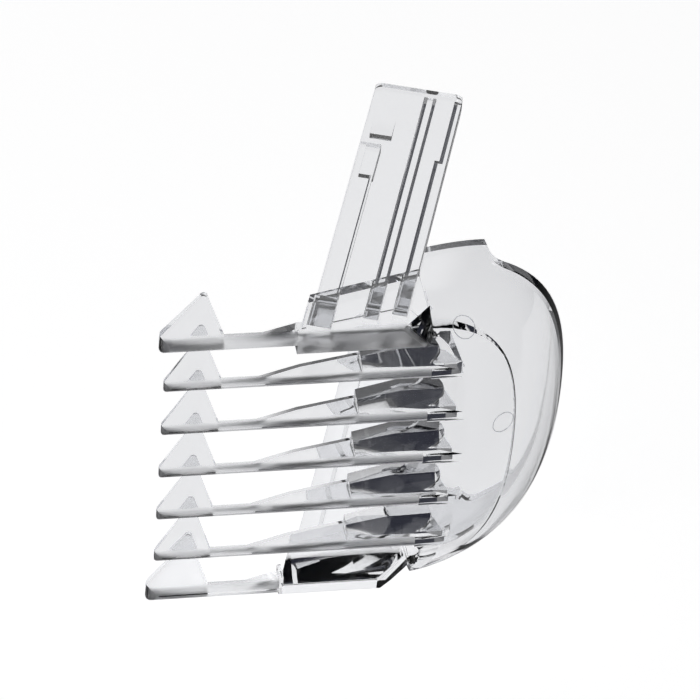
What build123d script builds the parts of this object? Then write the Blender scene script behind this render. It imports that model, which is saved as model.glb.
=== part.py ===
"""Clear guide comb for a hair clipper, lying on its side.

Millimetres.  X runs from the tooth tips to the rounded back, Y runs away from the skin side
and along the slide arms, Z runs across the row of teeth.  The lower side face is on Z = 0.
"""
import os
from math import asin, atan2, cos, degrees, radians, sin, sqrt, tan

from build123d import *

# Row of teeth
tooth_count = 7
tooth_pitch = 7.0
tooth_thickness = 1.3
end_tooth_thickness = 2.2
end_tooth_lead = 2.3
tooth_lead = 0.65
tooth_taper = 2.6
fang_base = 7.3
fang_apex_x = 6.3
fang_height = 10.3
fang_tip_round = 0.9
end_tip_round = 1.5
fang_apex_round = 0.5
neck_height = 1.0
neck_end_x = 12.0
tooth_shoulder_x = 17.4
tooth_shoulder_height = 2.9
tooth_crest_x = 31.0
tooth_crest_height = 6.0
tooth_skin_round = 0.6
tooth_root_x = 25.0
tooth_root_draft = 10.0
tooth_tail_gap = 0.3
tooth_tail_least = 0.05
end_tooth_round = 1.0

# Rounded back
wall = 1.4
side_half_width = 21.6
back_start_x = 36.5
back_radius = 18.0
corner_floor_x = 26.0
corner_rim_x = 36.3
corner_fullness = 0.74
side_edge_drop = 2.6
root_edge_round = 0.4
root_bevel_x = 29.3
root_bevel_depth = 4.2
root_bevel_height = 4.4
split_x = 33.5
rim_height = 12.6
rim_front_height = 13.8
ear_front_height = 15.8
ear_back_height = 17.5
ear_back_x = 42.8
ear_foot_x = 43.3
ear_foot_round = 1.8
slot_end_x = 36.2
slot_end_sag = 2.2
slot_ramp_length = 2.8
slot_ramp_depth = 1.0
slot_ramp_foot = 0.4

# Slide arms
arm_foot_x = 17.1
arm_lean = 19.0
arm_width = 11.5
arm_length = 54.0
arm_thickness = 1.3
arm_inset = 0.7
arm_corner_round = 0.9
rail_height = 0.8
rail_bevel = 0.45
front_rail_width = 2.7
front_rail_end = 41.8
middle_rail_start = 6.5
middle_rail_width = 1.6
middle_rail_end = 53.2
rear_rail_width = 1.6
rear_rail_narrow = 1.0
rear_rail_step = 40.2
stop_width = 1.9
stop_length = 6.2
stop_height = 0.6
catch_start = 0.85
catch_width = 2.85
catch_foot = 43.8
catch_length = 3.8
catch_height = 0.8

# Arm roots
root_front_wall = 0.7
root_inner_z = 19.0
root_pad = 0.4
shoulder_x = 23.2
shoulder_height = 8.8
shoulder_rise = 15.1
tongue_thickness = 1.1
front_tongue_end = 2.6
middle_tongue_end = 5.6
rear_tongue_end = 7.2
pivot_reach = 8.2
flex_gap = 0.22
pocket_side_gap = 0.15
pocket_end_gap = 0.3
bead_clearance = 0.04
edge_gap = 0.25
shoulder_gap = 0.3

# Derived places
lean_cos = cos(radians(arm_lean))
lean_sin = sin(radians(arm_lean))
shoulder_slope = tan(radians(shoulder_rise))
rim_angle = degrees(asin(sqrt(back_radius**2 - (back_radius - rim_height) ** 2) / back_radius))
back_x = back_start_x + back_radius * sin(radians(rim_angle))
tip_half_angle = atan2(fang_height, fang_apex_x + end_tooth_lead) / 2
tip_x = end_tip_round / tan(tip_half_angle) - end_tip_round - end_tooth_lead
arm_top_y = (arm_length - arm_corner_round) * lean_cos + arm_corner_round * (1 - lean_sin)
x_mid = (back_x + tip_x) / 2
y_mid = arm_top_y / 2
end_inner_z = side_half_width - end_tooth_thickness
arm_outer_z = side_half_width - arm_inset
arm_inner_z = arm_outer_z - arm_thickness
tongue_mid_z = arm_outer_z - tongue_thickness / 2
pocket_depth = tongue_thickness + 2 * flex_gap
bead_radius = pocket_depth / 2 - bead_clearance
root_front_x = arm_foot_x - root_front_wall / lean_cos
last_tooth = (tooth_count - 1) / 2
root_spread = (tooth_crest_height - tooth_skin_round) * tan(radians(tooth_root_draft))
tooth_root_half = tooth_thickness / 2 + root_spread
bowl_levels = ((0, 1.0), (13, 0.72), (27, 0.42), (42, 0.18), (56, 0.04), (72, 0.0), (90, 0.0))


def side_plane(z):
    """Plane across the comb at height z from its middle, drawn in X and Y."""
    return Plane(origin=(-x_mid, -y_mid, side_half_width + z), x_dir=(1, 0, 0), z_dir=(0, 0, 1))


def plan_plane(y):
    """Plane facing the skin at distance y from it, drawn in X and Z."""
    return Plane(origin=(-x_mid, y - y_mid, side_half_width), x_dir=(1, 0, 0), z_dir=(0, -1, 0))


def arm_plane(z):
    """Plane of an arm at height z, drawn across its width and along its length."""
    foot = (arm_foot_x - x_mid, -y_mid, side_half_width + z)
    return Plane(origin=foot, x_dir=(lean_cos, -lean_sin, 0), z_dir=(0, 0, 1))


def tooth_edge(x):
    """Height of the upper edge of a tooth behind its neck."""
    if x <= tooth_shoulder_x:
        rise = (x - neck_end_x) / (tooth_shoulder_x - neck_end_x)
        return neck_height + rise * (tooth_shoulder_height - neck_height)
    rise = (x - tooth_shoulder_x) / (tooth_crest_x - tooth_shoulder_x)
    return tooth_shoulder_height + rise * (tooth_crest_height - tooth_shoulder_height)


def shoulder_at(x):
    """Height of the sloping shoulder of an arm root."""
    return shoulder_height + (x - shoulder_x) * shoulder_slope


def shoulder_reach(t):
    """Length along the arm at which the shoulder crosses the line t across the arm."""
    base = shoulder_at(arm_foot_x + t * lean_cos) + t * lean_sin
    return base / (lean_cos - shoulder_slope * lean_sin)


def bowl_sizes(inset, angle, drop):
    """Distance, tip, half width and corner sizes of the rounded back at one angle of its curve."""
    radius = back_radius - inset
    turn = sin(radians(angle))
    y = back_radius - radius * cos(radians(angle))
    tip = back_start_x + radius * turn
    half = side_half_width - inset - drop * side_edge_drop
    bend = corner_floor_x + (corner_rim_x - corner_floor_x) * turn
    near = bend + corner_fullness * (tip - bend)
    full = corner_fullness * half
    return y, tip, half, bend, near, full


def bowl_outline(inset, angle, drop):
    """Plan outline of the rounded back at one angle of its curve, moved inward by inset."""
    y, tip, half, bend, near, full = bowl_sizes(inset, angle, drop)
    with BuildSketch(plan_plane(y)) as outline:
        with BuildLine():
            Polyline((bend, half), (arm_foot_x, half), (arm_foot_x, -half), (bend, -half))
            Bezier((bend, -half), (near, -half), (tip, -full), (tip, 0))
            Bezier((tip, 0), (tip, full), (near, half), (bend, half))
        make_face()
    return outline.sketch


def floor_reach(z):
    """How far back the flat floor runs at distance z from the middle."""
    y, tip, half, bend, near, full = bowl_sizes(wall, *bowl_levels[0])
    low, high = 0.0, 1.0
    for step in range(40):
        t = (low + high) / 2
        across = half * (1 - t) ** 3 + 3 * half * t * (1 - t) ** 2 + 3 * full * t**2 * (1 - t)
        if across > z:
            low = t
        else:
            high = t
    along = bend * (1 - t) ** 3 + 3 * near * t * (1 - t) ** 2
    return along + 3 * tip * t**2 * (1 - t) + tip * t**3


def make_bar(z, half, edge_round):
    """Long bar with the section of a tooth: rounded along the skin, a little thinner away from it."""
    far = fang_height + 1
    thin = half - far * tan(radians(tooth_taper))
    start = Plane(
        origin=(-end_tooth_lead - x_mid, -y_mid, side_half_width + z), x_dir=(0, 1, 0), z_dir=(1, 0, 0)
    )
    with BuildPart() as bar:
        with BuildSketch(start) as section:
            with BuildLine():
                Polyline((0, -half), (far, -thin), (far, thin), (0, half), (0, -half))
            make_face()
            fillet(section.vertices().group_by(Axis.X)[0], radius=edge_round)
        extrude(amount=end_tooth_lead + back_start_x + back_radius)
    return bar.part


def make_root(z, tail):
    """Root of a tooth: thin along the skin and thicker along the edge that faces the blade."""
    thin = tooth_thickness / 2
    start = Plane(
        origin=(tooth_root_x - x_mid, -y_mid, side_half_width + z), x_dir=(0, 1, 0), z_dir=(1, 0, 0)
    )
    with BuildPart() as root:
        with BuildSketch(start):
            with BuildLine():
                Polyline(
                    (tooth_skin_round, -thin),
                    (tooth_crest_height, -tooth_root_half),
                    (tooth_crest_height, tooth_root_half),
                    (tooth_skin_round, thin),
                    (tooth_skin_round, -thin),
                )
            make_face()
        extrude(amount=split_x + tail - tooth_root_x)
        with BuildSketch(side_plane(z - tooth_root_half)):
            with BuildLine():
                Polyline(
                    (tooth_root_x, 0),
                    (split_x, 0),
                    (split_x, wall),
                    (split_x + tail, wall),
                    (tooth_crest_x, tooth_crest_height),
                    (tooth_root_x, tooth_edge(tooth_root_x)),
                    (tooth_root_x, 0),
                )
            make_face()
        extrude(amount=2 * tooth_root_half, mode=Mode.INTERSECT)
    return root.part


def make_tooth(z, tail):
    """One flat tooth: a fang at the tip, a low neck and a rising plate with a thicker root."""
    root = make_root(z, tail)
    bar = make_bar(z, tooth_thickness / 2, tooth_skin_round)
    with BuildPart() as tooth:
        with BuildSketch(side_plane(z - tooth_thickness / 2)):
            with BuildLine():
                Polyline(
                    (-tooth_lead, 0),
                    (split_x, 0),
                    (split_x, wall),
                    (split_x + tail, wall),
                    (tooth_crest_x, tooth_crest_height),
                    (tooth_shoulder_x, tooth_shoulder_height),
                    (neck_end_x, neck_height),
                    (fang_base, neck_height),
                    (fang_apex_x, fang_height),
                    (-tooth_lead, 0),
                )
            make_face()
        extrude(amount=tooth_thickness)
        uprights = tooth.edges().filter_by(Axis.Z)
        tip = uprights.sort_by(Axis.X)[0]
        apex = uprights.sort_by(Axis.Y)[-1]
        fillet(tip, radius=fang_tip_round)
        fillet(apex, radius=fang_apex_round)
        add(bar, mode=Mode.INTERSECT)
        add(root)
    return tooth.part


# Slots between the teeth: lower side, upper side and end of each
slots = []
for index in range(tooth_count - 1):
    low = (index - last_tooth) * tooth_pitch + tooth_thickness / 2
    high = (index + 1 - last_tooth) * tooth_pitch - tooth_thickness / 2
    low = max(low, -end_inner_z)
    high = min(high, end_inner_z)
    middle = (low + high) / 2
    slots.append((low, high, slot_end_x - slot_end_sag * (middle / end_inner_z) ** 2))

# Rounded back with its floor, its two ears and the slots, whose ends slope up to the skin side
with BuildPart() as back_shell:
    loft(sections=[bowl_outline(0, angle, drop) for angle, drop in bowl_levels])
    loft(sections=[bowl_outline(wall, angle, drop) for angle, drop in bowl_levels], mode=Mode.SUBTRACT)
    with BuildSketch(side_plane(-side_half_width)):
        with Locations((back_start_x, 0)):
            Rectangle(4 * back_radius, 4 * back_radius)
    extrude(amount=2 * side_half_width, mode=Mode.INTERSECT)
    with BuildSketch(side_plane(-side_half_width - 1)):
        with BuildLine():
            Polyline((0, -1), (split_x, -1), (split_x, 2 * back_radius), (0, 2 * back_radius), (0, -1))
        make_face()
    extrude(amount=2 * side_half_width + 2, mode=Mode.SUBTRACT)
    arm_back_x = arm_foot_x + (arm_width + edge_gap) / lean_cos
    ear_front_x = arm_back_x + ear_front_height * lean_sin / lean_cos
    notch_y = (split_x - arm_back_x) * lean_cos / lean_sin
    with BuildSketch(side_plane(-side_half_width - 1)):
        with BuildLine():
            Polyline(
                (split_x - 1, notch_y),
                (split_x, notch_y),
                (ear_front_x, ear_front_height),
                (ear_back_x, ear_back_height),
                (ear_foot_x, rim_front_height),
                (back_x, rim_height),
                (back_x + 5, rim_height),
                (back_x + 5, 2 * back_radius),
                (split_x - 1, 2 * back_radius),
                (split_x - 1, notch_y),
            )
        make_face()
        ear_foot = Vector(ear_foot_x, rim_front_height, 0)
        fillet(vertices().sort_by_distance(ear_foot)[0], radius=ear_foot_round)
    extrude(amount=2 * side_half_width + 2, mode=Mode.SUBTRACT)
    with BuildSketch(plan_plane(-1)):
        for low, high, end in slots:
            half_gap = (high - low) / 2
            with Locations((end - half_gap, (low + high) / 2)):
                Circle(half_gap)
            with Locations(((end - half_gap + arm_foot_x) / 2, (low + high) / 2)):
                Rectangle(end - half_gap - arm_foot_x, 2 * half_gap)
    extrude(amount=-(wall + 2.5), mode=Mode.SUBTRACT)
    for low, high, end in slots:
        foot = end - slot_ramp_foot
        top = end + slot_ramp_length
        run = (top - foot) / slot_ramp_depth
        with BuildSketch(side_plane(low)):
            with BuildLine():
                Polyline(
                    (arm_foot_x, -1),
                    (top + run, -1),
                    (foot, slot_ramp_depth),
                    (arm_foot_x, slot_ramp_depth),
                    (arm_foot_x, -1),
                )
            make_face()
        extrude(amount=high - low, mode=Mode.SUBTRACT)
back_shell.part.label = "back_shell"

# Row of teeth, from the lower side face to the upper one
teeth = {}
for index in range(tooth_count):
    place = index - last_tooth
    if abs(place) == last_tooth:
        continue
    floor_end = floor_reach(abs(place) * tooth_pitch + tooth_root_half)
    tail = max(tooth_tail_least, floor_end - split_x - tooth_tail_gap)
    teeth[f"tooth_{index + 1}"] = make_tooth(place * tooth_pitch, tail)

# End teeth stop at the front of the arm roots and are well rounded along the skin
end_profile = (
    (-end_tooth_lead, 0),
    (root_front_x, 0),
    (root_front_x, tooth_edge(root_front_x)),
    (neck_end_x, neck_height),
    (fang_base, neck_height),
    (fang_apex_x, fang_height),
    (-end_tooth_lead, 0),
)
end_bar = make_bar(side_half_width - end_tooth_thickness / 2, end_tooth_thickness / 2, end_tooth_round)
with BuildPart() as upper_end_tooth:
    with BuildSketch(side_plane(end_inner_z)):
        with BuildLine():
            Polyline(*end_profile)
        make_face()
    extrude(amount=end_tooth_thickness)
    uprights = upper_end_tooth.edges().filter_by(Axis.Z)
    fillet(uprights.sort_by(Axis.Y)[-1], radius=fang_apex_round)
    uprights = upper_end_tooth.edges().filter_by(Axis.Z)
    fillet(uprights.sort_by(Axis.X)[0], radius=end_tip_round)
    add(end_bar, mode=Mode.INTERSECT)

# Arm root: the block on each side in which an arm's three tongues sit
front_top_x = root_front_x + shoulder_at(root_front_x) * lean_sin / (lean_cos - shoulder_slope * lean_sin)
front_low_x = root_front_x + tooth_edge(root_front_x) * lean_sin / lean_cos
root_profile = (
    (root_front_x, 0),
    (split_x, 0),
    (split_x, shoulder_at(split_x)),
    (front_top_x, shoulder_at(front_top_x)),
    (front_low_x, tooth_edge(root_front_x)),
    (root_front_x, tooth_edge(root_front_x)),
    (root_front_x, 0),
)
pad_profile = (
    (root_front_x, 0),
    (split_x, 0),
    (split_x, wall),
    (tooth_crest_x, tooth_crest_height),
    (tooth_shoulder_x, tooth_shoulder_height),
    (root_front_x, tooth_edge(root_front_x)),
    (root_front_x, 0),
)
tongues = (
    (0.0, front_rail_width, front_tongue_end),
    (middle_rail_start, middle_rail_start + middle_rail_width, middle_tongue_end),
    (arm_width - rear_rail_width, arm_width, rear_tongue_end),
)
with BuildPart() as upper_arm_root:
    with BuildSketch(side_plane(root_inner_z)):
        with BuildLine():
            Polyline(*root_profile)
        make_face()
    extrude(amount=side_half_width - root_inner_z)
    with BuildSketch(side_plane(root_inner_z - root_pad)):
        with BuildLine():
            Polyline(*pad_profile)
        make_face()
    extrude(amount=root_pad)
    with BuildSketch(arm_plane(tongue_mid_z - pocket_depth / 2)):
        for low, high, end in tongues:
            far = shoulder_reach(high) + 2
            with Locations(((low + high) / 2, (end - pocket_end_gap + far) / 2)):
                Rectangle(high - low + 2 * pocket_side_gap, far - end + pocket_end_gap)
    extrude(amount=pocket_depth, mode=Mode.SUBTRACT)
    skin_edges = upper_arm_root.edges().filter_by(Axis.X).group_by(Axis.Y)[0]
    fillet(skin_edges.sort_by(Axis.Z)[-1], radius=root_edge_round)
    bevel_start = side_plane(side_half_width).from_local_coords((root_bevel_x, 0, 0))
    bevel_low = side_plane(side_half_width - root_bevel_depth).from_local_coords((split_x, 0, 0))
    bevel_high = side_plane(side_half_width).from_local_coords((split_x, root_bevel_height, 0))
    bevel_run = Vector(bevel_low) - Vector(bevel_start)
    bevel_normal = bevel_run.cross(Vector(bevel_high) - Vector(bevel_start))
    split(bisect_by=Plane(origin=bevel_start, x_dir=bevel_run, z_dir=bevel_normal), keep=Keep.BOTTOM)

# Slide arm: flat plate, three rails on its inner face, a stop, a catch and three tongues
with BuildPart() as upper_arm:
    with BuildSketch(arm_plane(arm_inner_z)):
        with BuildLine():
            Polyline(
                (0, shoulder_reach(0) + shoulder_gap),
                (arm_width, shoulder_reach(arm_width) + shoulder_gap),
                (arm_width, arm_length),
                (0, arm_length),
                (0, shoulder_reach(0) + shoulder_gap),
            )
        make_face()
    extrude(amount=arm_thickness)
    corners = upper_arm.edges().filter_by(Axis.Z).sort_by(Axis.Y)[-2:]
    fillet(corners, radius=arm_corner_round)
    with BuildSketch(arm_plane(arm_inner_z - rail_height)):
        rails = (
            (0.0, front_rail_width, front_rail_end),
            (middle_rail_start, middle_rail_start + middle_rail_width, middle_rail_end),
            (arm_width - rear_rail_width, arm_width, rear_rail_step),
            (arm_width - rear_rail_narrow, arm_width, middle_rail_end),
        )
        for low, high, end in rails:
            with BuildLine():
                Polyline(
                    (low, shoulder_reach(low) + shoulder_gap),
                    (high, shoulder_reach(high) + shoulder_gap),
                    (high, end),
                    (low, end),
                    (low, shoulder_reach(low) + shoulder_gap),
                )
            make_face()
    extrude(amount=rail_height)
    along_arm = Axis((0, 0, 0), (lean_sin, lean_cos, 0))
    across_arm = Axis(arm_plane(0).origin, (lean_cos, -lean_sin, 0))
    rail_edges = upper_arm.edges().filter_by(along_arm).group_by(Axis.Z)[0]
    inner_edges = rail_edges.filter_by_position(across_arm, rail_bevel, arm_width - rail_bevel)
    chamfer(inner_edges, length=rail_bevel)
    with BuildSketch(arm_plane(arm_inner_z - rail_height - stop_height)):
        with Locations((front_rail_width - stop_width / 2, front_rail_end - stop_length / 2)):
            Rectangle(stop_width, stop_length)
    extrude(amount=stop_height + rail_height)
    catch_foot_point = arm_plane(arm_inner_z).from_local_coords((catch_start, catch_foot, 0))
    with BuildSketch(Plane(origin=catch_foot_point, x_dir=(lean_sin, lean_cos, 0), z_dir=(lean_cos, -lean_sin, 0))):
        with BuildLine():
            Polyline((0, 0.2), (0, -catch_height), (catch_length, 0), (catch_length, 0.2), (0, 0.2))
        make_face()
    extrude(amount=catch_width)
    with BuildSketch(arm_plane(arm_outer_z - tongue_thickness)):
        for low, high, end in tongues:
            with BuildLine():
                Polyline(
                    (low, end),
                    (high, end),
                    (high, shoulder_reach(high) + 2 * shoulder_gap),
                    (low, shoulder_reach(low) + 2 * shoulder_gap),
                    (low, end),
                )
            make_face()
    extrude(amount=tongue_thickness)
    for low, high, end in tongues:
        bead_end = arm_plane(tongue_mid_z).from_local_coords((low, pivot_reach, 0))
        with BuildSketch(Plane(origin=bead_end, x_dir=(0, 0, 1), z_dir=(lean_cos, -lean_sin, 0))):
            Circle(bead_radius)
        extrude(amount=high - low)

# The lower side is the mirror image of the upper side
mid_plane = Plane(origin=(0, 0, side_half_width), z_dir=(0, 0, 1))
with BuildPart() as lower_end_tooth:
    add(mirror(upper_end_tooth.part, about=mid_plane))
with BuildPart() as lower_arm_root:
    add(mirror(upper_arm_root.part, about=mid_plane))
with BuildPart() as lower_arm:
    add(mirror(upper_arm.part, about=mid_plane))

nodes = {
    "back_shell": back_shell.part,
    "lower_end_tooth": lower_end_tooth.part,
    "upper_end_tooth": upper_end_tooth.part,
    "lower_arm_root": lower_arm_root.part,
    "upper_arm_root": upper_arm_root.part,
    "lower_arm": lower_arm.part,
    "upper_arm": upper_arm.part,
}
nodes.update(teeth)

os.makedirs("parts", exist_ok=True)
for name, solid in nodes.items():
    solid.label = name
    export_step(solid, f"parts/{name}.step")
    box = solid.bounding_box()
    print(name, len(solid.solids()), round(solid.volume, 2), box.min, box.max)
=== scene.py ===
"""Clear guide comb of a hair clipper, lying on its side on a white table.

The part frame is in metres: X from the tooth tips to the rounded back, Y away from the skin side,
Z across the row of teeth.  The comb is drawn in millimetres, with Z from the middle of the row.
"""

from math import cos, radians, sin, sqrt, tan

import bmesh
import bpy
from mathutils import Matrix, Vector


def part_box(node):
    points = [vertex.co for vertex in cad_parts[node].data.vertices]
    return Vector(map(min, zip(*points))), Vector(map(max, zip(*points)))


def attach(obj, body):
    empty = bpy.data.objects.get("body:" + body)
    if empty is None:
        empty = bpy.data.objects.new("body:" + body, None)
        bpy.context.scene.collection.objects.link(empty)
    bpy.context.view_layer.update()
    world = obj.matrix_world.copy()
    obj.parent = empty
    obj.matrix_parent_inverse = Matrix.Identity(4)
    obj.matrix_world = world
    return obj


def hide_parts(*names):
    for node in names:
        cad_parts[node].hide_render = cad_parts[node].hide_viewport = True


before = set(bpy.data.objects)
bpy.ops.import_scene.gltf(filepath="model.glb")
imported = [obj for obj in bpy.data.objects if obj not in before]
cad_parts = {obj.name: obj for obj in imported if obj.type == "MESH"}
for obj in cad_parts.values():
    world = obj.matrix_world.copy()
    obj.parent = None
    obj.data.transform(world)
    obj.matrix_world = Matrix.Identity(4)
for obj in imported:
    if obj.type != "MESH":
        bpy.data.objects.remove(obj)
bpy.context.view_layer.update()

MM = 0.001

# Distances in metres within which points are joined: drawn blocks, CAD nodes, finished pieces
BLOCK_WELD = 1e-7
NODE_WELD = 1e-6
PIECE_WELD = 2e-6

# Reach of a cutting block past what it cuts: just past it, and well clear of it
PAST = 1
CLEAR = 5

# Rounded back: levels give an angle of its curve in degrees and the share of the side edges' drop
SIDE_HALF = 21.6
WALL = 1.4
BACK_START = 36.5
BACK_RADIUS = 18.0
CORNER_FLOOR_X = 26.0
CORNER_RIM_X = 36.3
FULLNESS = 0.74
EDGE_DROP = 2.6
DROP_LEVELS = ((0, 1.0), (13, 0.72), (27, 0.42), (42, 0.18), (56, 0.04), (72, 0.0), (90, 0.0))
DROP_EASE = 0.3
LEVEL_STEP = 3
CURVE_STEPS = 28
SPLIT_X = 33.5
RIM_BACK = 12.6
EAR_FRONT = 15.8
EAR_BACK = (42.8, 17.5)
EAR_FOOT = (43.3, 13.8)
EAR_FOOT_ROUND = 1.8

# Fold inside the back, where its wall gets thicker; the angle is in degrees from the floor
FOLD_STEP = 0.5
FOLD_ANGLE = 33
FOLD_TOP = 8

# Slots between the teeth, whose ends slope up to the skin side
SLOT_START = 20
SLOT_END = 36.2
SLOT_SAG = 2.2
SLOT_OVER = 1.5
SLOT_STEPS = 20
RAMP_FOOT_GAP = 0.4
RAMP_LENGTH = 2.8
RAMP_DEPTH = 1.0
RAMP_UNDER = 2

# Row of teeth
TOOTH_COUNT = 7
PITCH = 7.0
TOOTH = 1.3
END_TOOTH = 2.2
TOOTH_LEAD = 0.65
END_LEAD = 2.3
FANG_APEX = (6.3, 10.3)
NECK_FRONT = (7.3, 1.0)
NECK_BACK = (12.0, 1.0)
SHOULDER = (17.4, 2.9)
CREST = (31.0, 6.0)
TIP_ROUND = 0.9
END_TIP_ROUND = 1.5
APEX_ROUND = 0.4

# Cross-section of a tooth, as a long bar that starts before the tips and ends behind SPLIT_X
SKIN_ROUND = 0.6
END_ROUND = 1.0
ROUND_STEPS = 6
TAPER = radians(2.6)
TAPER_RUN = 11
BAR_HEIGHT = 12
BAR_START = -3
BAR_TAIL = 3

# Tail of a tooth behind SPLIT_X, along the skin, in the floor and on the floor; tail of an end tooth
TAIL_SKIN = 0.5
TAIL_FLOOR = 2
TAIL_TOP = 2.2
END_TAIL = 0.2

# Roots of the teeth, thicker away from the skin
ROOT_X = 25.0
ROOT_BACK = (36.6, 6.2)
ROOT_END = (37.4, 1.8)
ROOT_DRAFT = radians(10)
ROOT_HEIGHT = 7
ROOT_INSET = 0.3

# Slide arms; a tongue runs between two places across its arm and ends at a place along it
ARM_LEAN = radians(19.0)
ARM_FOOT_X = 17.1
ARM_WIDTH = 11.5
ARM_GAP = 0.25
TONGUES = ((0.0, 2.7, 2.6), (6.5, 8.1, 5.6), (9.9, 11.5, 7.2))

# Block that takes the tongues off the lower arm and leaves a gap above the shoulder of its root
FOOT_SIDES = (-1, 13)
FOOT_START = -6
FOOT_HEIGHTS = (-25, -15)
FOOT_GAP = 0.1

# Arm roots: their sloping shoulder, the ribs behind the upper tongues and the filled lower pockets
ARM_SHOULDER = (23.2, 8.8)
ARM_SHOULDER_RISE = radians(15.1)
RIB_ENDS = (9.2, 13.2, 15.4)
RIB_INSET = 0.1
RIB_LENGTH = 6.0
RIB_OUTER = 19.2
RIB_INNER = 17.5
RIB_SLOPE = radians(13)
FILL_SIDE = 0.2
FILL_END = 0.4
FILL_SINK = 0.02
POCKET_OUTER = 21.14
POCKET_INNER = 19.56

# Draft of the lower arm root, the lip left along its skin edge and its bevelled back corner
LOWER_DRAFT = radians(13)
DRAFT_TOP = 6.2
DRAFT_INNER_FOOT = -0.5
DRAFT_OUTER_FOOT = 0.3
DRAFT_CUT = 2
DRAFT_SLIVER = 0.01
DRAFT_START = 0.5
DRAFT_END = 33.3
LIP = 0.5
LIP_SHIFT = 0.2
LIP_TOP = 9
LIP_HALF = 4
CORNER_BEVEL_X = 29.3
CORNER_BEVEL_HEIGHT = 4.4

# Edges: width of the bevels, and the angles that count as flat and as sharp
BODY_BEVEL = 0.15
ARM_BEVEL = 0.22
FLAT_ANGLE = radians(0.6)
SHARP_ANGLE = radians(30)

# Satin skin edges: roughness, the heights between which it fades in, and where it lies
SATIN_ROUGHNESS = 0.55
SATIN_EDGE = 1.0
SATIN_FULL = 0.3
SATIN_SIDE = 3.4
SATIN_UPPER_END = 32

# Marks of the mould's ejector pins: place in the frame and the way each one faces
PIN_MARKS = (
    ((11.03, -23.11, 41.17), (0.28, -0.57, 0.77)),
    ((17.12, -23.88, 25.9), (0.38, -0.92, 0.01)),
)
PIN_RADIUS = 1.5
PIN_LINE = 0.06

# Table in metres: its light fades in between an edge and a full place, along Y and along X
TABLE_SIZE = 6
TABLE_DROP = 0.0003
TABLE_GLOW = 0.84
SHEET_EDGE = -0.042
SHEET_FULL = -0.028
LEFT_EDGE = 0.012
LEFT_FULL = 0.004

# Room light by direction: start and end of a change of colour
ROOM_TOP = (0.45, 0.5, 0.74)
ROOM_SIDE_COLOR = (0.3, 0.3, 0.305, 1)
ROOM_TOP_COLOR = (0.03, 0.032, 0.046, 1)
ROOM_TOP_RANGE = (0.15, 0.4)
SCREEN = (-0.15, 0.8, 0.58)
SCREEN_COLOR = (0.95, 0.95, 0.95, 1)
SCREEN_RANGE = (0.88, 0.94)
BLACK = (0, 0, 0, 1)
ROOM_ON_TABLE = 0.2

# Places of a mix node's two colours among its inputs, and of the mixed colour among its outputs
MIX_FIRST = 6
MIX_SECOND = 7
MIX_RESULT = 2

# Lamp and camera, in metres and watts
LAMP_PLACE = Vector((-0.55, -0.45, 0.7))
LAMP_AIM = Vector((0, 0, 0.02))
LAMP_SIZE = 0.5
LAMP_POWER = 2.0
CAMERA_PLACE = Vector((-0.108947, -0.503605, 0.447035))
CAMERA_RIGHT = Vector((0.984751, -0.161093, 0.06569))
CAMERA_UP = Vector((0.053564, 0.639995, 0.76651))
CAMERA_LOOK = Vector((0.165521, 0.751302, -0.638864))
CAMERA_LENS = 266.6
CAMERA_SENSOR = 36.0
CAMERA_NEAR = 0.01

# Read from the frame: the drawing's origin, the back of the end teeth and the lower root's faces
X0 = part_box("back_shell")[0][0] / MM - SPLIT_X
Y0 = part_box("tooth_4")[0][1] / MM
Z0 = SIDE_HALF
END_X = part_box("upper_end_tooth")[1][0] / MM - X0
root_low, root_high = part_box("lower_arm_root")
LOWER_ROOT_OUTER = root_low[2] / MM - Z0
LOWER_ROOT_INNER = root_high[2] / MM - Z0


def place(x, y, z):
    """A point of the comb's drawing, in millimetres, as a point of the frame in metres."""
    return Vector(((x + X0) * MM, (y + Y0) * MM, (z + Z0) * MM))


def arm_point(across, along, z):
    """A point drawn across and along a slide arm, as a point of the frame."""
    x = ARM_FOOT_X + across * cos(ARM_LEAN) + along * sin(ARM_LEAN)
    return place(x, along * cos(ARM_LEAN) - across * sin(ARM_LEAN), z)


def weld(mesh, distance):
    """Joins the points that lie closer than distance and turns every face outward."""
    work = bmesh.new()
    work.from_mesh(mesh)
    bmesh.ops.remove_doubles(work, verts=work.verts, dist=distance)
    bmesh.ops.recalc_face_normals(work, faces=work.faces)
    work.to_mesh(mesh)
    work.free()


def new_object(name, verts, faces):
    """A closed mesh object in the scene."""
    mesh = bpy.data.meshes.new(name)
    mesh.from_pydata(verts, [], faces)
    mesh.validate()
    obj = bpy.data.objects.new(name, mesh)
    bpy.context.scene.collection.objects.link(obj)
    weld(mesh, BLOCK_WELD)
    return obj


def node_copy(name):
    """A free copy of a CAD node's mesh, welded into a closed surface."""
    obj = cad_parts[name].copy()
    obj.data = obj.data.copy()
    bpy.context.scene.collection.objects.link(obj)
    obj.parent = None
    obj.matrix_world = Matrix.Identity(4)
    weld(obj.data, NODE_WELD)
    return obj


def prism(name, near_end, far_end):
    """A block between two end faces with the same number of points."""
    count = len(near_end)
    faces = [list(range(count))[::-1], list(range(count, 2 * count))]
    faces += [[i, (i + 1) % count, (i + 1) % count + count, i + count] for i in range(count)]
    return new_object(name, near_end + far_end, faces)


def slab(name, outline, z_low, z_high):
    """A plate with the given X and Y outline between two heights."""
    ends = [[place(x, y, z) for x, y in outline] for z in (z_low, z_high)]
    return prism(name, *ends)


def plan_block(name, outline, y_low, y_high):
    """A block with the given X and Z outline between two distances from the skin."""
    ends = [[place(x, y, z) for x, z in outline] for y in (y_low, y_high)]
    return prism(name, *ends)


def plank(name, outline, x_low, x_high):
    """A bar with the given Y and Z outline between two places along the teeth."""
    ends = [[place(x, y, z) for y, z in outline] for x in (x_low, x_high)]
    return prism(name, *ends)


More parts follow.
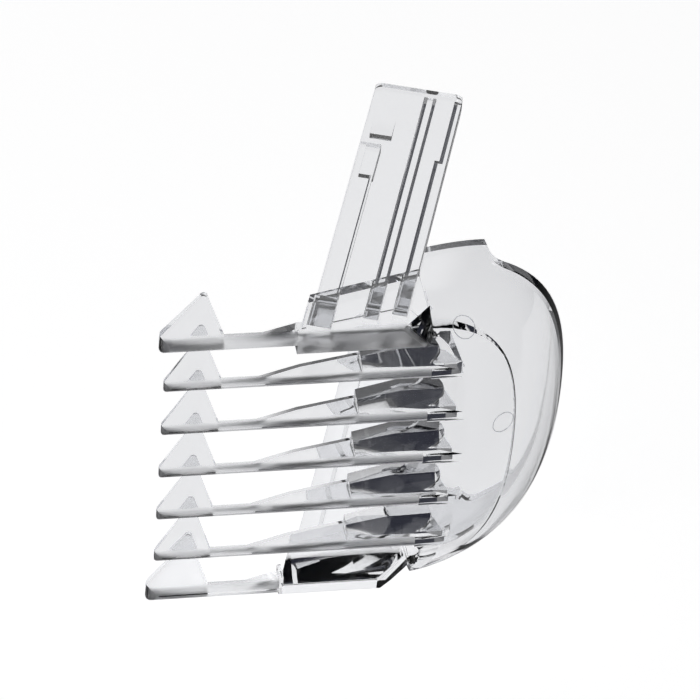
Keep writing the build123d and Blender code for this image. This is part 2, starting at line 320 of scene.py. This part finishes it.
def arm_block(name, outline, z_low, z_high):
    """A plate whose outline is drawn across and along a slide arm."""
    ends = [[arm_point(across, along, z) for across, along in outline] for z in (z_low, z_high)]
    return prism(name, *ends)


def apply_modifiers(obj):
    """Gives the object the mesh that its modifiers make."""
    bpy.context.view_layer.update()
    graph = bpy.context.evaluated_depsgraph_get()
    made = bpy.data.meshes.new_from_object(obj.evaluated_get(graph))
    obj.modifiers.clear()
    old = obj.data
    obj.data = made
    bpy.data.meshes.remove(old)


def combine(obj, other, operation):
    """Boolean of two closed meshes, applied; the second one is used up."""
    mod = obj.modifiers.new("cut", "BOOLEAN")
    mod.operation = operation
    mod.solver = "MANIFOLD"
    mod.object = other
    apply_modifiers(obj)
    bpy.data.objects.remove(other)


def soften(obj, width):
    """Rounds the sharp edges by a small bevel, as a polished mould leaves them."""
    work = bmesh.new()
    work.from_mesh(obj.data)
    bmesh.ops.remove_doubles(work, verts=work.verts, dist=PIECE_WELD)
    bmesh.ops.dissolve_limit(work, angle_limit=FLAT_ANGLE, verts=work.verts, edges=work.edges)
    work.to_mesh(obj.data)
    work.free()
    bevel = obj.modifiers.new("edge", "BEVEL")
    bevel.width = width * MM
    bevel.segments = 2
    bevel.limit_method = "ANGLE"
    bevel.angle_limit = SHARP_ANGLE
    bevel.use_clamp_overlap = True
    bevel.miter_outer = "MITER_ARC"
    for face in obj.data.polygons:
        face.use_smooth = True
    even = obj.modifiers.new("even", "WEIGHTED_NORMAL")
    even.mode = "FACE_AREA"
    even.weight = 100
    apply_modifiers(obj)


def rounded(points, radii, steps=ROUND_STEPS):
    """An outline in which the corners named in radii are rounded."""
    out = []
    for i, corner in enumerate(points):
        if corner not in radii:
            out.append(corner)
            continue
        here = Vector(corner)
        before = (Vector(points[i - 1]) - here).normalized()
        after = (Vector(points[(i + 1) % len(points)]) - here).normalized()
        half = before.angle(after) / 2
        reach = radii[corner] / tan(half)
        middle = here + (before + after).normalized() * (radii[corner] / sin(half))
        start = here + before * reach - middle
        end = here + after * reach - middle
        sweep = start.angle_signed(end)
        for k in range(steps + 1):
            a = -sweep * k / steps
            x = start.x * cos(a) - start.y * sin(a)
            y = start.x * sin(a) + start.y * cos(a)
            out.append(tuple(middle + Vector((x, y))))
    return out


def height_at(x, start, end):
    """Height at x of the straight edge through two points."""
    return start[1] + (x - start[0]) * (end[1] - start[1]) / (end[0] - start[0])


def shoulder_reach(across):
    """Length along a slide arm at which the root's sloping shoulder crosses a line across it."""
    rise = tan(ARM_SHOULDER_RISE)
    height = ARM_SHOULDER[1] + (ARM_FOOT_X + across * cos(ARM_LEAN) - ARM_SHOULDER[0]) * rise
    return (height + across * sin(ARM_LEAN)) / (cos(ARM_LEAN) - rise * sin(ARM_LEAN))


def drop_at(angle):
    """Share of the side edges' drop at an angle of the back's curve, in degrees."""
    for (low, low_drop), (high, high_drop) in zip(DROP_LEVELS, DROP_LEVELS[1:]):
        if angle <= high:
            t = (angle - low) / (high - low)
            t = t * t * (3 - 2 * t) * DROP_EASE + t * (1 - DROP_EASE)
            return low_drop + (high_drop - low_drop) * t


def bowl_line(angle, inset, front):
    """Outline of the rounded back at one level, moved inward by inset."""
    turn = sin(radians(angle))
    tip = BACK_START + (BACK_RADIUS - inset) * turn
    half = SIDE_HALF - inset - drop_at(angle) * EDGE_DROP
    bend = CORNER_FLOOR_X + (CORNER_RIM_X - CORNER_FLOOR_X) * turn
    near = bend + FULLNESS * (tip - bend)
    full = FULLNESS * half
    curve = []
    for k in range(CURVE_STEPS + 1):
        t = k / CURVE_STEPS
        s = 1 - t
        x = bend * s**3 + 3 * near * t * s * s + 3 * tip * t * t * s + tip * t**3
        z = half * s**3 + 3 * half * t * s * s + 3 * full * t * t * s
        curve.append((x, z))
    return [(front, half)] + curve + [(x, -z) for x, z in curve[-2::-1]] + [(front, -half)]


def bowl(name, inset, front):
    """Closed block whose outside is the rounded back, moved inward by inset."""
    rows = []
    for angle in range(0, 91, LEVEL_STEP):
        y = BACK_RADIUS - (BACK_RADIUS - inset) * cos(radians(angle))
        rows.append([place(x, y, z) for x, z in bowl_line(angle, inset, front)])
    count = len(rows[0])
    faces = []
    for r in range(len(rows) - 1):
        for i in range(count):
            j = (i + 1) % count
            faces.append([r * count + i, r * count + j, (r + 1) * count + j, (r + 1) * count + i])
    faces.append(list(range(count))[::-1])
    faces.append([(len(rows) - 1) * count + i for i in range(count)])
    return new_object(name, [point for row in rows for point in row], faces)


def make_back():
    """Rounded back with its rim and its two ears, and a fold inside where the wall gets thicker."""
    back = bowl("comb_body", 0.0, ARM_FOOT_X)
    front = ARM_FOOT_X - CLEAR
    inside = bowl("inside", WALL + FOLD_STEP, front)
    floor = bowl("floor", WALL, front)
    fold = bowl_line(FOLD_ANGLE, WALL + FOLD_STEP, front - PAST)
    combine(floor, plan_block("fold", fold, -PAST, FOLD_TOP), "INTERSECT")
    combine(inside, floor, "UNION")
    combine(back, inside, "DIFFERENCE")
    side = SIDE_HALF + CLEAR
    top = 2 * BACK_RADIUS
    front_cut = [(0, -CLEAR), (SPLIT_X, -CLEAR), (SPLIT_X, top), (0, top)]
    combine(back, slab("front", front_cut, -side, side), "DIFFERENCE")
    lean_tan = tan(ARM_LEAN)
    arm_back = ARM_FOOT_X + (ARM_WIDTH + ARM_GAP) / cos(ARM_LEAN)
    notch = (SPLIT_X - arm_back) / lean_tan
    back_x = BACK_START + sqrt(BACK_RADIUS**2 - (BACK_RADIUS - RIM_BACK) ** 2)
    rim = [
        (SPLIT_X - PAST, notch),
        (SPLIT_X, notch),
        (arm_back + EAR_FRONT * lean_tan, EAR_FRONT),
        EAR_BACK,
        EAR_FOOT,
        (back_x, RIM_BACK),
        (back_x + CLEAR, RIM_BACK),
        (back_x + CLEAR, top),
        (SPLIT_X - PAST, top),
    ]
    rim = rounded(rim, {EAR_FOOT: EAR_FOOT_ROUND}, steps=10)
    combine(back, slab("rim", rim, -side, side), "DIFFERENCE")
    return back


def tooth_z(index):
    """Height of a tooth's middle."""
    return (index - (TOOTH_COUNT - 1) / 2) * PITCH


def cut_slots(comb):
    """Cuts the round-ended slots between the teeth and the slopes at their ends."""
    row_half = SIDE_HALF - END_TOOTH
    for index in range(TOOTH_COUNT - 1):
        low = max(tooth_z(index) + TOOTH / 2, -row_half)
        high = min(tooth_z(index + 1) - TOOTH / 2, row_half)
        middle = (low + high) / 2
        half = (high - low) / 2
        reach = SLOT_END - SLOT_SAG * (middle / row_half) ** 2
        turns = [radians(180 * k / SLOT_STEPS - 90) for k in range(SLOT_STEPS + 1)]
        outline = [(SLOT_START, low)]
        outline += [(reach - half + half * cos(a), middle + half * sin(a)) for a in turns]
        outline += [(SLOT_START, high)]
        combine(comb, plan_block("slot", outline, -PAST, WALL + SLOT_OVER), "DIFFERENCE")
        start = SPLIT_X - PAST
        foot = reach - RAMP_FOOT_GAP
        top = reach + RAMP_LENGTH
        run = (top - foot) / RAMP_DEPTH
        ramp = [(start, -RAMP_UNDER), (top + RAMP_UNDER * run, -RAMP_UNDER)]
        ramp += [(foot, RAMP_DEPTH), (start, RAMP_DEPTH)]
        combine(comb, slab("ramp", ramp, low, high), "DIFFERENCE")


def add_arm_roots(comb):
    """Adds the part's arm roots, with ribs behind the upper tongues and filled lower pockets."""
    for name in ("lower_arm_root", "upper_arm_root"):
        combine(comb, node_copy(name), "UNION")
    for (low, high, _), end in zip(TONGUES, RIB_ENDS):
        start = end - RIB_LENGTH
        section = [(start, RIB_OUTER), (end, RIB_OUTER), (end, RIB_INNER)]
        section += [(start, RIB_INNER + RIB_LENGTH * tan(RIB_SLOPE))]
        sides = [
            [arm_point(across, along, z) for along, z in section]
            for across in (low + RIB_INSET, high - RIB_INSET)
        ]
        combine(comb, prism("rib", *sides), "UNION")
    for low, high, end in TONGUES:
        near = low - FILL_SIDE
        far = high + FILL_SIDE
        outline = [(near, end - FILL_END), (far, end - FILL_END)]
        outline += [(across, shoulder_reach(across) - FILL_SINK) for across in (far, near)]
        combine(comb, arm_block("fill", outline, -POCKET_OUTER, -POCKET_INNER), "UNION")


def draft_lower_root(comb):
    """Leans both faces of the lower root, like the teeth's roots, but for a lip along the skin."""
    inner = LOWER_ROOT_INNER
    outer = LOWER_ROOT_OUTER
    rise = tan(LOWER_DRAFT)
    start = END_X + DRAFT_START
    inner_cut = [
        (DRAFT_TOP, inner + DRAFT_SLIVER),
        (DRAFT_TOP, inner + DRAFT_CUT),
        (DRAFT_INNER_FOOT, inner + DRAFT_CUT),
        (DRAFT_INNER_FOOT, inner - (DRAFT_TOP - DRAFT_INNER_FOOT) * rise),
    ]
    combine(comb, plank("cut", inner_cut, start, DRAFT_END), "DIFFERENCE")
    outer_cut = [
        (DRAFT_OUTER_FOOT, outer + (DRAFT_TOP - DRAFT_OUTER_FOOT) * rise),
        (DRAFT_TOP, outer - DRAFT_SLIVER),
        (DRAFT_TOP, outer - DRAFT_CUT),
        (DRAFT_OUTER_FOOT, outer - DRAFT_CUT),
    ]
    cutter = plank("cut", outer_cut, start, DRAFT_END)
    lip_bend = CORNER_BEVEL_X - LIP_SHIFT
    lip_slope = CORNER_BEVEL_HEIGHT / (SPLIT_X - CORNER_BEVEL_X)
    lip_back = LIP + (SPLIT_X - lip_bend) * lip_slope
    above_lip = [(END_X, LIP), (lip_bend, LIP), (SPLIT_X, lip_back)]
    above_lip += [(SPLIT_X, LIP_TOP), (END_X, LIP_TOP)]
    combine(cutter, slab("lip", above_lip, outer - LIP_HALF, outer + LIP_HALF), "INTERSECT")
    combine(comb, cutter, "DIFFERENCE")


def tooth_section(z, half, radius):
    """Cross-section of a tooth: rounded along the skin and a little thinner away from it."""
    turns = [radians(90 * k / ROUND_STEPS) for k in range(ROUND_STEPS + 1)]
    edge = [(radius * (1 - cos(a)), half - radius + radius * sin(a)) for a in turns]
    edge += [(BAR_HEIGHT, half - TAPER_RUN * tan(TAPER))]
    return [(y, z - w) for y, w in edge[::-1]] + [(y, z + w) for y, w in edge]


def add_tooth(comb, z):
    """One flat tooth: a fang at the tip, a low neck and a rising plate."""
    half = TOOTH / 2
    tip = (-TOOTH_LEAD, 0)
    outline = [tip, (SPLIT_X + TAIL_SKIN, 0), (SPLIT_X + TAIL_SKIN, WALL / 2)]
    outline += [(SPLIT_X + TAIL_FLOOR, WALL / 2), (SPLIT_X + TAIL_TOP, WALL)]
    outline += [CREST, SHOULDER, NECK_BACK, NECK_FRONT, FANG_APEX]
    outline = rounded(outline, {tip: TIP_ROUND, FANG_APEX: APEX_ROUND})
    tooth = slab("tooth", outline, z - half, z + half)
    section = tooth_section(z, half, SKIN_ROUND)
    combine(tooth, plank("round", section, BAR_START, SPLIT_X + BAR_TAIL), "INTERSECT")
    combine(comb, tooth, "UNION")


def add_tooth_root(comb, z):
    """Root of a flat tooth: a wedge that runs on behind the crest to the end of the slots."""
    thin = TOOTH / 2
    wide = thin + ROOT_HEIGHT * tan(ROOT_DRAFT)
    section = [(SKIN_ROUND, z - thin), (ROOT_HEIGHT, z - wide)]
    section += [(ROOT_HEIGHT, z + wide), (SKIN_ROUND, z + thin)]
    root = plank("root", section, ROOT_X, ROOT_END[0])
    front = ROOT_X - PAST
    back = ROOT_END[0] + PAST
    top = height_at(ROOT_X, SHOULDER, CREST)
    keep = [(front, SKIN_ROUND), (back, SKIN_ROUND), (back, ROOT_END[1])]
    keep += [ROOT_END, ROOT_BACK, CREST, (ROOT_X, top), (front, top)]
    combine(root, slab("keep", keep, z - CLEAR, z + CLEAR), "INTERSECT")
    combine(root, bowl("limit", ROOT_INSET, ARM_FOOT_X - CLEAR), "INTERSECT")
    combine(comb, root, "UNION")


def add_end_tooth(comb, z):
    """Thicker tooth at an end of the row, which stops at the front of the arm root."""
    half = END_TOOTH / 2
    tip = (-END_LEAD, 0)
    back = END_X + END_TAIL
    outline = [tip, (back, 0), (back, height_at(END_X, NECK_BACK, SHOULDER))]
    outline += [NECK_BACK, NECK_FRONT, FANG_APEX]
    outline = rounded(outline, {tip: END_TIP_ROUND, FANG_APEX: APEX_ROUND}, steps=8)
    tooth = slab("tooth", outline, z - half, z + half)
    section = tooth_section(z, half, END_ROUND)
    combine(tooth, plank("round", section, BAR_START, END_X + PAST), "INTERSECT")
    combine(comb, tooth, "UNION")


def maths(tree, operation, first, second):
    """Output of a maths node fed by two sockets."""
    node = tree.nodes.new("ShaderNodeMath")
    node.operation = operation
    tree.links.new(first, node.inputs[0])
    tree.links.new(second, node.inputs[1])
    return node.outputs[0]


def fade(tree, value, start, end, low=0.0, high=1.0):
    """Output of a range node: low at start, high at end, and a straight change between them."""
    node = tree.nodes.new("ShaderNodeMapRange")
    node.inputs["From Min"].default_value = start
    node.inputs["From Max"].default_value = end
    node.inputs["To Min"].default_value = low
    node.inputs["To Max"].default_value = high
    tree.links.new(value, node.inputs["Value"])
    return node.outputs["Result"]


def clear_plastic(name, skin_roughness):
    """Polished clear plastic, with faint flow marks, an uneven gloss and a given skin edge."""
    mat = bpy.data.materials.new(name)
    mat.use_nodes = True
    tree = mat.node_tree
    nodes = tree.nodes
    links = tree.links
    nodes.clear()
    out = nodes.new("ShaderNodeOutputMaterial")
    shader = nodes.new("ShaderNodeBsdfPrincipled")
    shader.inputs["Base Color"].default_value = (0.795, 0.8, 0.815, 1)
    shader.inputs["Transmission Weight"].default_value = 1.0
    shader.inputs["IOR"].default_value = 1.5
    coords = nodes.new("ShaderNodeTexCoord")
    flow = nodes.new("ShaderNodeTexNoise")
    flow.inputs["Scale"].default_value = 90.0
    flow.inputs["Detail"].default_value = 3.0
    links.new(coords.outputs["Object"], flow.inputs["Vector"])
    axes = nodes.new("ShaderNodeSeparateXYZ")
    links.new(coords.outputs["Object"], axes.inputs["Vector"])
    edge = (Y0 + SATIN_EDGE) * MM
    full = (Y0 + SATIN_FULL) * MM
    skin = fade(tree, axes.outputs["Y"], edge, full, high=skin_roughness)
    gloss = fade(tree, flow.outputs["Fac"], 0.0, 1.0, high=0.06)
    links.new(maths(tree, "ADD", skin, gloss), shader.inputs["Roughness"])
    bump = nodes.new("ShaderNodeBump")
    bump.inputs["Strength"].default_value = 0.04
    bump.inputs["Distance"].default_value = 0.0005
    links.new(flow.outputs["Fac"], bump.inputs["Height"])
    links.new(bump.outputs["Normal"], shader.inputs["Normal"])
    path = nodes.new("ShaderNodeLightPath")
    through = nodes.new("ShaderNodeBsdfTransparent")
    through.inputs["Color"].default_value = (0.9, 0.9, 0.9, 1)
    mix = nodes.new("ShaderNodeMixShader")
    links.new(path.outputs["Is Shadow Ray"], mix.inputs["Fac"])
    links.new(shader.outputs["BSDF"], mix.inputs[1])
    links.new(through.outputs["BSDF"], mix.inputs[2])
    links.new(mix.outputs["Shader"], out.inputs["Surface"])
    return mat


def white_table():
    """White that is bright to the camera, and through the plastic except in front of the comb."""
    mat = bpy.data.materials.new("table")
    mat.use_nodes = True
    tree = mat.node_tree
    shader = tree.nodes["Principled BSDF"]
    shader.inputs["Base Color"].default_value = (0.85, 0.85, 0.85, 1)
    shader.inputs["Roughness"].default_value = 0.6
    shader.inputs["Emission Color"].default_value = (1, 1, 1, 1)
    coords = tree.nodes.new("ShaderNodeTexCoord")
    axes = tree.nodes.new("ShaderNodeSeparateXYZ")
    tree.links.new(coords.outputs["Object"], axes.inputs["Vector"])
    sheet = fade(tree, axes.outputs["Y"], SHEET_EDGE, SHEET_FULL)
    left = fade(tree, axes.outputs["X"], LEFT_EDGE, LEFT_FULL)
    path = tree.nodes.new("ShaderNodeLightPath")
    lit = maths(tree, "MAXIMUM", sheet, left)
    through = maths(tree, "MULTIPLY", path.outputs["Is Transmission Ray"], lit)
    seen = maths(tree, "MAXIMUM", path.outputs["Is Camera Ray"], through)
    glow = fade(tree, seen, 0.0, 1.0, high=TABLE_GLOW)
    tree.links.new(glow, shader.inputs["Emission Strength"])
    return mat


def room_side(tree, coords, direction, change, start_color, end_color):
    """Colour that changes as a ray turns towards a direction of the room."""
    facing = tree.nodes.new("ShaderNodeVectorMath")
    facing.operation = "DOT_PRODUCT"
    facing.inputs[1].default_value = direction
    tree.links.new(coords, facing.inputs[0])
    ramp = tree.nodes.new("ShaderNodeValToRGB")
    first, last = ramp.color_ramp.elements
    first.position, last.position = change
    first.color = start_color
    last.color = end_color
    tree.links.new(facing.outputs["Value"], ramp.inputs["Fac"])
    return ramp.outputs["Color"]


def make_room():
    """World light: dim at the sides and dark above, with a bright screen behind."""
    world = bpy.data.worlds.new("room")
    world.use_nodes = True
    tree = world.node_tree
    background = tree.nodes["Background"]
    coords = tree.nodes.new("ShaderNodeTexCoord").outputs["Generated"]
    room = room_side(tree, coords, ROOM_TOP, ROOM_TOP_RANGE, ROOM_SIDE_COLOR, ROOM_TOP_COLOR)
    screen = room_side(tree, coords, SCREEN, SCREEN_RANGE, BLACK, SCREEN_COLOR)
    lighter = tree.nodes.new("ShaderNodeMix")
    lighter.data_type = "RGBA"
    lighter.blend_type = "LIGHTEN"
    lighter.inputs[0].default_value = 1.0
    tree.links.new(room, lighter.inputs[MIX_FIRST])
    tree.links.new(screen, lighter.inputs[MIX_SECOND])
    tree.links.new(lighter.outputs[MIX_RESULT], background.inputs["Color"])
    path = tree.nodes.new("ShaderNodeLightPath").outputs
    mirrored = maths(tree, "MAXIMUM", path["Is Glossy Ray"], path["Is Transmission Ray"])
    strength = fade(tree, mirrored, 0.0, 1.0, low=ROOM_ON_TABLE)
    tree.links.new(strength, background.inputs["Strength"])
    return world


def is_satin(face):
    """Whether a face lies where the skin edge is satin: the teeth and the upper arm root."""
    x = face.center.x / MM - X0
    z = face.center.z / MM - Z0
    row_half = SIDE_HALF - SATIN_SIDE
    in_row = abs(z) < row_half and x < ROOT_X
    on_upper_root = z > row_half and x < SATIN_UPPER_END
    return in_row or on_upper_root or x < END_X - PAST


# Comb body
body = make_back()
cut_slots(body)
add_arm_roots(body)
draft_lower_root(body)
for index in range(1, TOOTH_COUNT - 1):
    add_tooth(body, tooth_z(index))
    add_tooth_root(body, tooth_z(index))
for side in (-1, 1):
    add_end_tooth(body, side * (SIDE_HALF - END_TOOTH / 2))
soften(body, BODY_BEVEL)
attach(body, "comb")
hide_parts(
    "back_shell", "lower_end_tooth", "tooth_2", "tooth_3", "tooth_4", "tooth_5", "tooth_6",
    "upper_end_tooth", "lower_arm_root", "upper_arm_root",
)
plastic = clear_plastic("comb_plastic", 0.0)
satin_plastic = clear_plastic("comb_plastic_satin_skin", SATIN_ROUGHNESS)
body.data.materials.clear()
body.data.materials.append(plastic)
body.data.materials.append(satin_plastic)
for face in body.data.polygons:
    face.material_index = 1 if is_satin(face) else 0

# Slide arms, copied from the part; the lower one has no tongues, as its root's pockets are filled
for name in ("lower_arm", "upper_arm"):
    arm = node_copy(name)
    arm.name = name + "_clear"
    if name == "lower_arm":
        foot = [(across, FOOT_START) for across in FOOT_SIDES]
        foot += [(across, shoulder_reach(across) + FOOT_GAP) for across in FOOT_SIDES[::-1]]
        combine(arm, arm_block("foot", foot, *FOOT_HEIGHTS), "DIFFERENCE")
    soften(arm, ARM_BEVEL)
    arm.data.materials.clear()
    arm.data.materials.append(plastic)
    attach(arm, name)
    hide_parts(name)

# Faint round marks of the ejector pins on the outside of the back
for number, (where, facing) in enumerate(PIN_MARKS, 1):
    bpy.ops.mesh.primitive_torus_add(
        location=Vector(where) * MM,
        rotation=Vector(facing).to_track_quat("Z", "Y").to_euler(),
        major_radius=PIN_RADIUS * MM,
        minor_radius=PIN_LINE * MM,
        major_segments=48,
        minor_segments=10,
    )
    ring = bpy.context.object
    ring.name = f"pin_mark_{number}"
    bpy.ops.object.shade_smooth()
    ring.data.materials.append(plastic)
    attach(ring, "comb")

# Table
bpy.ops.mesh.primitive_plane_add(size=TABLE_SIZE, location=(0, 0, -TABLE_DROP))
table = bpy.context.object
table.name = "table"
table.data.materials.append(white_table())

# Room light
bpy.context.scene.world = make_room()

# One large soft lamp in front
lamp = bpy.data.lights.new("front", "AREA")
lamp.size = LAMP_SIZE
lamp.energy = LAMP_POWER
lamp_object = bpy.data.objects.new("front", lamp)
lamp_object.location = LAMP_PLACE
lamp_object.rotation_euler = (LAMP_AIM - LAMP_PLACE).to_track_quat("-Z", "Y").to_euler()
bpy.context.scene.collection.objects.link(lamp_object)

# Camera at the photograph's place
camera = bpy.data.cameras.new("camera")
camera.sensor_width = CAMERA_SENSOR
camera.lens = CAMERA_LENS
camera.clip_start = CAMERA_NEAR
camera_object = bpy.data.objects.new("camera", camera)
bpy.context.scene.collection.objects.link(camera_object)
columns = (CAMERA_RIGHT, CAMERA_UP, -CAMERA_LOOK, CAMERA_PLACE)
rows = [[column[row] for column in columns] for row in range(3)]
camera_object.matrix_world = Matrix(rows + [(0, 0, 0, 1)])
bpy.context.scene.camera = camera_object
bpy.context.scene.view_settings.view_transform = "Standard"
